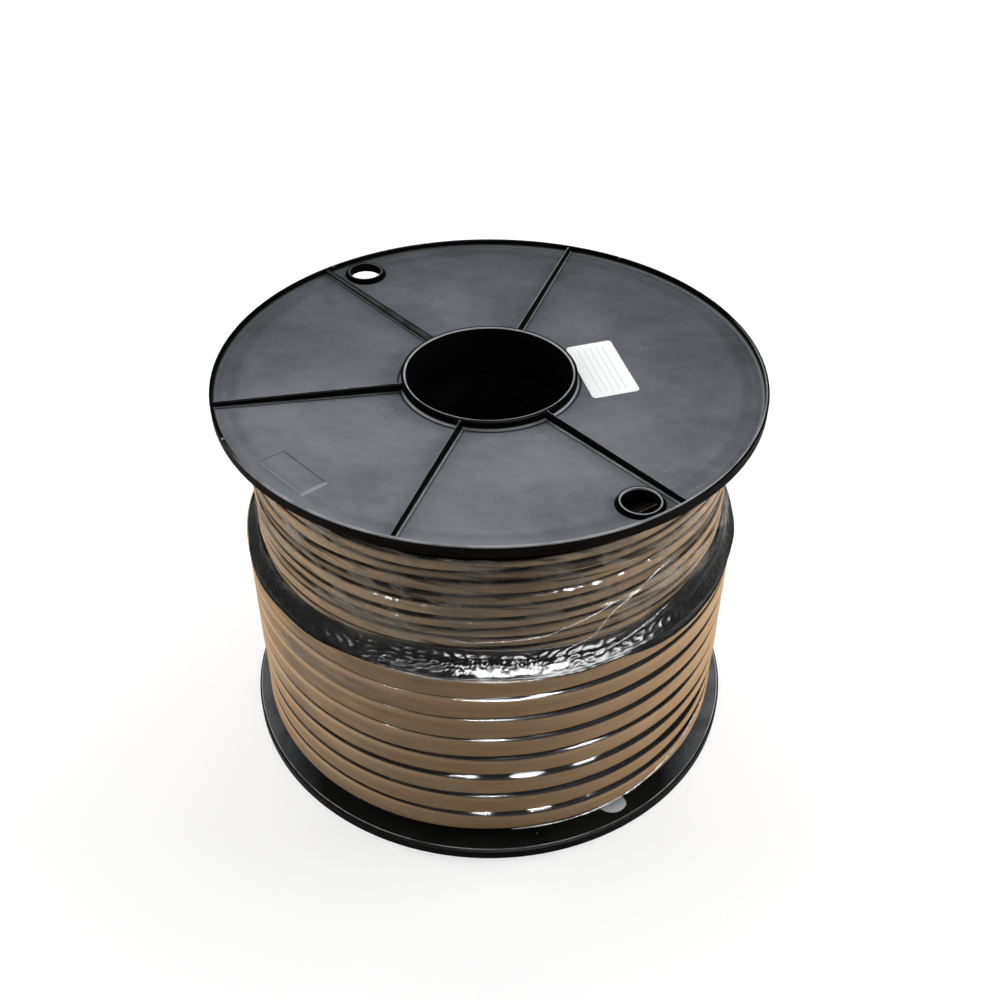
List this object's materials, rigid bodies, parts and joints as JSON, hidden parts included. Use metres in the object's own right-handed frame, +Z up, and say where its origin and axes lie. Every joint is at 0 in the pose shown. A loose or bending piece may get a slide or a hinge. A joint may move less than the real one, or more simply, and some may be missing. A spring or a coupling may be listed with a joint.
{
  "type": "cable reel",
  "caption": "Black plastic reel with dished, ribbed flanges, wound with brown flat twin cable under clear stretch film, standing on its lower rim.",
  "frame": {"origin": "on the reel's axis, on the floor that the lower rim stands on", "axes": "+Z up the reel's axis, -Y towards the viewer of the picture, +X to that viewer's right"},
  "size_m": [0.34, 0.34, 0.266],
  "materials": {
    "reel_plastic": "black injection-moulded plastic, satin sheen, scuffed and dusty",
    "cable_sheath": "brown PVC sheath, satin",
    "black_wrap": "glossy black film, crinkled",
    "clear_film": "clear glossy stretch film",
    "label_paper": "white coated paper, blank"
  },
  "bodies": {
    "root": {"upper_flange": "reel_plastic", "lower_flange": "reel_plastic", "barrel": "reel_plastic", "cable_winding": "cable_sheath", "wrap_band": "black_wrap", "stretch_film": "clear_film", "label": "label_paper"}
  },
  "joints": []
}
